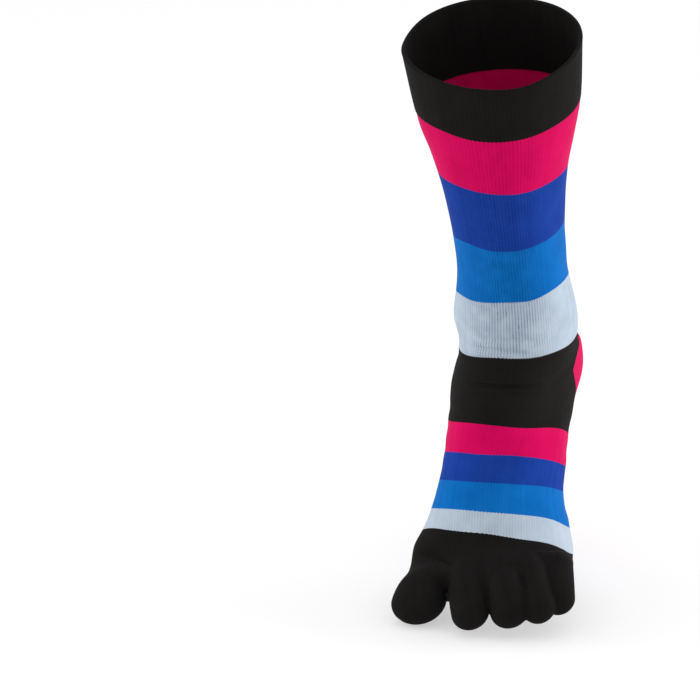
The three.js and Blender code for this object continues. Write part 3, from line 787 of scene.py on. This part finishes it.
# Distance of flat points from a toe's outer knit, below 0 inside, how far along the toe they lie,
# their angle round it and the mean half width there.
def toeDistance(toe, points):
    toe = np.array(toe)
    line = toe[:, :3] * sizeOf()

    def lineAt(t):
        return [np.stack([curve(line[:, k], t) for k in range(3)], -1) for curve in (through, throughSlope)]

    start, end = through(line, 0.0), through(line, 1.0)
    t = np.clip((points - start) @ (end - start) / ((end - start) @ (end - start)), -beforeRoot, 1)
    for _ in range(4):
        here, slope = lineAt(t)
        t = np.clip(t + ((points - here) * slope).sum(-1) / (slope * slope).sum(-1), -beforeRoot, 1)
    here, slope = lineAt(t)
    heading = slope / lengthOf(slope)[..., None]
    side = np.stack([heading[..., 1], -heading[..., 0], np.zeros_like(t)], -1)
    side = side / lengthOf(side)[..., None]
    up = np.cross(side, heading)
    wide = sock["footWidth"] * through(toe[:, 3], t)
    tall = sock["sockHeight"] * through(toe[:, 4], t)
    reach = (wide + tall) / 2
    away = points - here
    a, b, c = ((away * axis).sum(-1) for axis in (side, up, heading))
    ratio = np.sqrt((a / wide) ** 2 + (b / tall) ** 2 + (c / reach) ** 2)
    steep = np.sqrt((a / wide ** 2) ** 2 + (b / tall ** 2) ** 2 + (c / reach ** 2) ** 2)
    distance = (ratio - 1) * ratio / np.maximum(steep, 1e-6)
    distance = np.where(ratio < toeCore["reach"], toeCore["distance"] * np.minimum(wide, tall), distance)
    return distance, t, np.arctan2(a / wide, b / tall), reach


# The foot behind the toes as a closed flat body: its tree, its rings and how far ahead they lie.
def forefootTree():
    count = toeKnit["footColumns"]
    angles = np.arange(count) * 2 * math.pi / count
    band, last = ringNames.index("footGrey"), ringNames.index("webs")
    us = np.linspace(band - toeKnit["rowsBehind"], last, toeKnit["footRings"])
    rings = [flatPoint(np.full_like(angles, u), angles) for u in us]
    edge = rings[-1]
    middle, before = edge.mean(0), rings[-toeKnit["headingRings"]].mean(0)
    heading = (middle - before) / lengthOf(middle - before)
    depth = toeKnit["domeDepth"] * sock["footLength"]
    for k in range(1, toeKnit["domeRings"]):
        turn = k / toeKnit["domeRings"] * math.pi / 2
        rings.append(middle + (edge - middle) * math.cos(turn) + heading * math.sin(turn) * depth)
    rings = np.array(rings)
    vertices = np.concatenate([rings.reshape(-1, 3), [middle + heading * depth, rings[0].mean(0)]])
    faces = tubeQuads(len(rings), count)[0].tolist()
    tip = len(rings) * count
    for i in range(count):
        n = (i + 1) % count
        faces += [[tip - count + i, tip, tip - count + n], [i, n, tip + 1]]
    along = lengthAlong(rings, 0)
    ahead = along - along[np.abs(us - band).argmin()] - edgeShift("footGrey", angles)
    return BVHTree.FromPolygons(vertices.tolist(), faces), rings, ahead


# Signed distance of points from that body, and how far ahead the nearest place on it lies.
def footDistance(tree, rings, ahead, points):
    middle = Vector(rings.reshape(-1, 3).mean(0))
    near, normal, _, _ = tree.find_nearest(middle)
    sign = 1 if (middle - near).dot(normal) < 0 else -1
    values, spots, faces = np.empty(len(points)), np.empty((len(points), 3)), np.empty(len(points), int)
    for k, point in enumerate(points.tolist()):
        near, normal, faces[k], distance = tree.find_nearest(Vector(point))
        values[k] = distance if (Vector(point) - near).dot(normal) * sign >= 0 else -distance
        spots[k] = near
    count = rings.shape[1]
    row, column = np.minimum(faces // count, len(rings) - 2), faces % count
    start, step = rings[row, column], rings[row + 1, column] - rings[row, column]
    share = np.clip(((spots - start) * step).sum(-1) / (step * step).sum(-1), 0, 1)
    return values, ahead[row, column] * (1 - share) + ahead[row + 1, column] * share


# Lesser of two distances, blended where they are nearly the same.
def softMin(a, b, blend):
    share = np.clip(0.5 + 0.5 * (b - a) / blend, 0, 1)
    return b * (1 - share) + a * share - blend * share * (1 - share)


# Doubles the resolution of a field by straight interpolation.
def doubled(field):
    for axis in range(3):
        field = np.moveaxis(field, axis, 0)
        fine = np.empty((2 * len(field) - 1,) + field.shape[1:])
        fine[::2] = field
        fine[1::2] = (field[:-1] + field[1:]) / 2
        field = np.moveaxis(fine, 0, axis)
    return field


# Evens out a field between neighbouring places.
def evened(field):
    for axis in range(3):
        field = np.moveaxis(field, axis, 0)
        field = np.concatenate([field[:1], (field[:-2] + 2 * field[1:-1] + field[2:]) / 4, field[-1:]])
        field = np.moveaxis(field, 0, axis)
    return field


# Surface where a field passes 0: one vertex in each cell that it crosses, quads between them.
def zeroSurface(field, corner, cell):
    inside = field < 0
    shape = tuple(n - 1 for n in field.shape)
    total, crossings = np.zeros(shape + (3,)), np.zeros(shape)
    corners = [(x, y, z) for x in (0, 1) for y in (0, 1) for z in (0, 1)]

    def shifted(array, offset):
        return array[tuple(slice(o, o + n) for o, n in zip(offset, shape))]

    for a in corners:
        for axis in range(3):
            if a[axis]:
                continue
            b = tuple(v + (k == axis) for k, v in enumerate(a))
            valueA, valueB = shifted(field, a), shifted(field, b)
            crosses = shifted(inside, a) != shifted(inside, b)
            share = np.where(crosses, valueA / np.where(crosses, valueA - valueB, 1), 0)
            spot = np.zeros(shape + (3,)) + np.array(a, float)
            spot[..., axis] += share
            total += spot * crosses[..., None]
            crossings += crosses
    used = crossings > 0
    number = np.full(shape, -1)
    number[used] = np.arange(used.sum())
    base = np.stack(np.nonzero(used), -1)
    points = corner + (base + total[used] / crossings[used][:, None]) * cell
    quads = []
    for axis in range(3):
        one, two = (axis + 1) % 3, (axis + 2) % 3
        size = list(field.shape)
        size[axis] -= 1
        low = inside[tuple(slice(0, n) for n in size)]
        high = np.moveaxis(np.moveaxis(inside, axis, 0)[1:], 0, axis)
        found = low != high
        where = np.stack(np.nonzero(found), -1)
        for k in (one, two):
            where = where[(where[:, k] > 0) & (where[:, k] < shape[k])]
        entering = low[tuple(where.T)]
        ring = []
        for stepOne, stepTwo in ((0, 0), (1, 0), (1, 1), (0, 1)):
            cellAt = where.copy()
            cellAt[:, one] -= stepOne
            cellAt[:, two] -= stepTwo
            ring.append(number[tuple(cellAt.T)])
        ring = np.stack(ring, -1)
        quads.append(np.where(entering[:, None], ring, ring[:, ::-1]))
    return points, np.concatenate(quads)


# Moves each vertex half way to the middle of its neighbours.
def relaxed(points, quads):
    pairs = np.concatenate([quads[:, [k, (k + 1) % 4]] for k in range(4)])
    total, number = np.zeros_like(points), np.zeros(len(points))
    np.add.at(total, pairs[:, 0], points[pairs[:, 1]])
    np.add.at(total, pairs[:, 1], points[pairs[:, 0]])
    np.add.at(number, pairs.ravel(), 1)
    return points + (total / np.maximum(number, 1)[:, None] - points) * 0.5


# Depth of the folds at flat points.
def foldDepth(points):
    x, forward, up = points[..., 0], points[..., 1], points[..., 2]
    depth = 0
    for fold in named(foldColumns, folds):
        stepX, stepForward = fold["endX"] - fold["startX"], fold["endForward"] - fold["startForward"]
        length = math.hypot(stepX, stepForward)
        share = ((x - fold["startX"]) * stepX + (forward - fold["startForward"]) * stepForward) / length ** 2
        share = np.clip(share, 0, 1)
        stray = 4 * fold["bow"] * share * (1 - share) / length
        awayX = x - fold["startX"] - share * stepX + stray * stepForward
        awayForward = forward - fold["startForward"] - share * stepForward - stray * stepX
        away = np.hypot(awayX, awayForward)
        deep = fold["deep"] * (1 - fold["taper"] * np.abs(2 * share - 1) ** 3)
        depth = depth + deep * np.exp(-(away / fold["wide"]) ** 2)
    return depth * eased(*foldHeights, up)


# The whole field of the toe end: below 0 inside the outer knit.
def toeField(points, foot, ahead):
    found = [toeDistance(toe, points) for toe in toes.values()]
    joined = found[0][0]
    for (distance, t, _, _), blend in zip(found[1:], toeKnit["rootBlends"]):
        thinned = 1 - eased(*toeKnit["joined"], t)
        joined = softMin(joined, distance, toeKnit["tipBlend"] + (blend - toeKnit["tipBlend"]) * thinned)
    joined = joined + toeKnit["retreat"] * eased(*toeKnit["retreatAhead"], ahead)
    body = softMin(foot, joined, toeKnit["webBlend"])
    return body + toeKnit["tuckDepth"] * eased(*toeKnit["tuckAhead"], ahead) + toeKnit["inset"]


# Points and quads of the toe end on the flat foot.
def toeSurface():
    cell = toeKnit["cell"]
    low, high = np.array(toeKnit["boxLow"]) * sizeOf(), np.array(toeKnit["boxHigh"]) * sizeOf()

    def cellCorners(shape, step):
        axes = [low[k] + np.arange(shape[k]) * step for k in range(3)]
        return np.stack(np.meshgrid(*axes, indexing="ij"), -1)

    coarse = np.ceil((high - low) / (2 * cell)).astype(int) + 1
    points = cellCorners(coarse, 2 * cell)
    foot, ahead = (field.reshape(coarse) for field in footDistance(*forefootTree(), points.reshape(-1, 3)))
    foot, ahead = doubled(foot), doubled(evened(evened(ahead)))
    body = toeField(cellCorners(foot.shape, cell), foot, ahead)
    wall = np.maximum(body, -(body + sock["wall"]))
    wall = np.maximum(wall, -(ahead + toeKnit["underBand"]))
    flat, quads = zeroSurface(wall, low, cell)
    for _ in range(toeKnit["smoothings"]):
        flat = relaxed(flat, quads)
    flat[:, 2] -= foldDepth(flat)
    return flat, quads


# Stitch map of the toe end: wales run along the foot and along each toe.
def toeStitches(flat, quads):
    found = [toeDistance(toe, flat) for toe in toes.values()]
    distances = np.stack([f[0] for f in found])
    row = named(ringColumns, ringTable)[ringNames.index("ball")]
    width, height = sock["footWidth"], sock["sockHeight"]
    middleX, middleUp = row["shift"] * width, (row["topUp"] + row["backUp"]) / 2 * height
    halfWide = (row["wideInner"] + row["wideOuter"]) / 2 * width
    halfTall = (row["topUp"] - row["backUp"]) / 2 * height
    footTurn = np.arctan2((flat[:, 0] - middleX) / halfWide, (flat[:, 2] - middleUp) / halfTall)
    onToe = distances.min(0)[quads].mean(1) < toeKnit["onToe"]
    owner = distances[:, quads].mean(2).argmin(0)
    turns = np.stack([footTurn] + [f[2] for f in found])
    footReach = sock["needles"] * sock["waleWide"] / (2 * math.pi)
    reaches = np.stack([np.full(len(flat), footReach)] + [f[3] for f in found])
    pick = np.where(onToe, owner + 1, 0)[:, None]
    turn = turns[pick, quads]
    turn = np.where(turn - turn[:, :1] > math.pi, turn - 2 * math.pi, turn)
    turn = np.where(turn - turn[:, :1] < -math.pi, turn + 2 * math.pi, turn)
    needle = turn * reaches[pick, quads] / sock["waleWide"]
    course = flat[:, 1][quads] / sock["courseStep"]
    return np.stack([needle, course], -1)


def makeToes():
    flat, quads = toeSurface()
    piece = knitPiece("toeKnit", place(flat), quads.tolist(), toeStitches(flat, quads), hasEdges=False)
    dress(piece, "black", "forefoot", *toes)
    print("toes:", len(flat), "points,", len(quads), "faces")


makeToes()

# Studio: pale floor under the toes, even white surround, soft lights at the sides.
studio = {
    "floorDrop": 0.0002,
    "floorSize": 12.0,
    "floorColour": "#b6b6b6",
    "floorGlow": 0.49,
    "surround": 1.0,
    # azimuth and elevation, distance from the sock, size and power
    "lights": {
        "softTop": [15, 80, 2.0, 2.0, 2],
        "softRight": [110, 9, 1.8, 0.9, 17],
        "softLeft": [-80, 9, 1.8, 0.9, 10],
    },
}


# Direction from the target to a light or the camera.
def directionOf(azimuth, elevation):
    azimuth, elevation = math.radians(azimuth), math.radians(elevation)
    return Vector((math.sin(azimuth) * math.cos(elevation), -math.cos(azimuth) * math.cos(elevation),
                   math.sin(elevation)))


def makeStudio():
    world = bpy.data.worlds.new("surround")
    world.use_nodes = True
    background = world.node_tree.nodes["Background"]
    background.inputs["Color"].default_value = (1, 1, 1, 1)
    background.inputs["Strength"].default_value = studio["surround"]
    bpy.context.scene.world = world
    lowest = min(v.co.z for v in bpy.data.objects["toeKnit"].data.vertices)
    half = studio["floorSize"] / 2
    mesh = bpy.data.meshes.new("floor")
    corners = [(-half, -half), (half, -half), (half, half), (-half, half)]
    mesh.from_pydata([(x, y, lowest - studio["floorDrop"]) for x, y in corners], [], [(0, 1, 2, 3)])
    floor = linked("floor", mesh)
    material = bpy.data.materials.new("backlit opal acrylic table")
    material.use_nodes = True
    tree = material.node_tree
    tree.nodes.clear()
    acrylic = addNode(tree, "BsdfPrincipled", values={
        "Base Color": hexColour(studio["floorColour"]),
        "Roughness": 0.95,
        "Specular IOR Level": 0.1,
        "Emission Color": (1, 1, 1, 1),
        "Emission Strength": studio["floorGlow"],
    })
    addNode(tree, "OutputMaterial", links={"Surface": acrylic})
    floor.data.materials.append(material)
    target = Vector((0, 0, (cadBox[0][2] + cadBox[1][2]) / 2))
    for name, (azimuth, elevation, distance, size, power) in studio["lights"].items():
        data = bpy.data.lights.new(name, "AREA")
        data.shape = "DISK"
        data.size = size
        data.energy = power
        lamp = linked(name, data)
        lamp.location = target + directionOf(azimuth, elevation) * distance
        lamp.rotation_euler = (target - lamp.location).to_track_quat("-Z", "Y").to_euler()


makeStudio()

# Camera at the photograph's angle. Angles in degrees, lengths in metres.
view = {
    "azimuth": 15.56,
    "elevation": 17.0,
    "roll": -1.13,
    "distance": 1.7,
    "target": (-0.0816, -0.01626, -0.18),
    "lens": 150.9,
}


def makeCamera():
    azimuth, roll = math.radians(view["azimuth"]), math.radians(view["roll"])
    back = directionOf(view["azimuth"], view["elevation"])
    right = Vector((math.cos(azimuth), math.sin(azimuth), 0))
    up = back.cross(right)
    rolledRight = right * math.cos(roll) + up * math.sin(roll)
    rolledUp = up * math.cos(roll) - right * math.sin(roll)
    data = bpy.data.cameras.new("photoCamera")
    data.lens = view["lens"]
    data.sensor_width = 36
    data.clip_end = 50
    camera = linked("photoCamera", data)
    turn = Matrix((rolledRight, rolledUp, back)).transposed().to_4x4()
    camera.matrix_world = Matrix.Translation(Vector(view["target"]) + back * view["distance"]) @ turn
    bpy.context.scene.camera = camera


makeCamera()
bpy.context.scene.view_settings.view_transform = "Standard"
print("studio and camera")
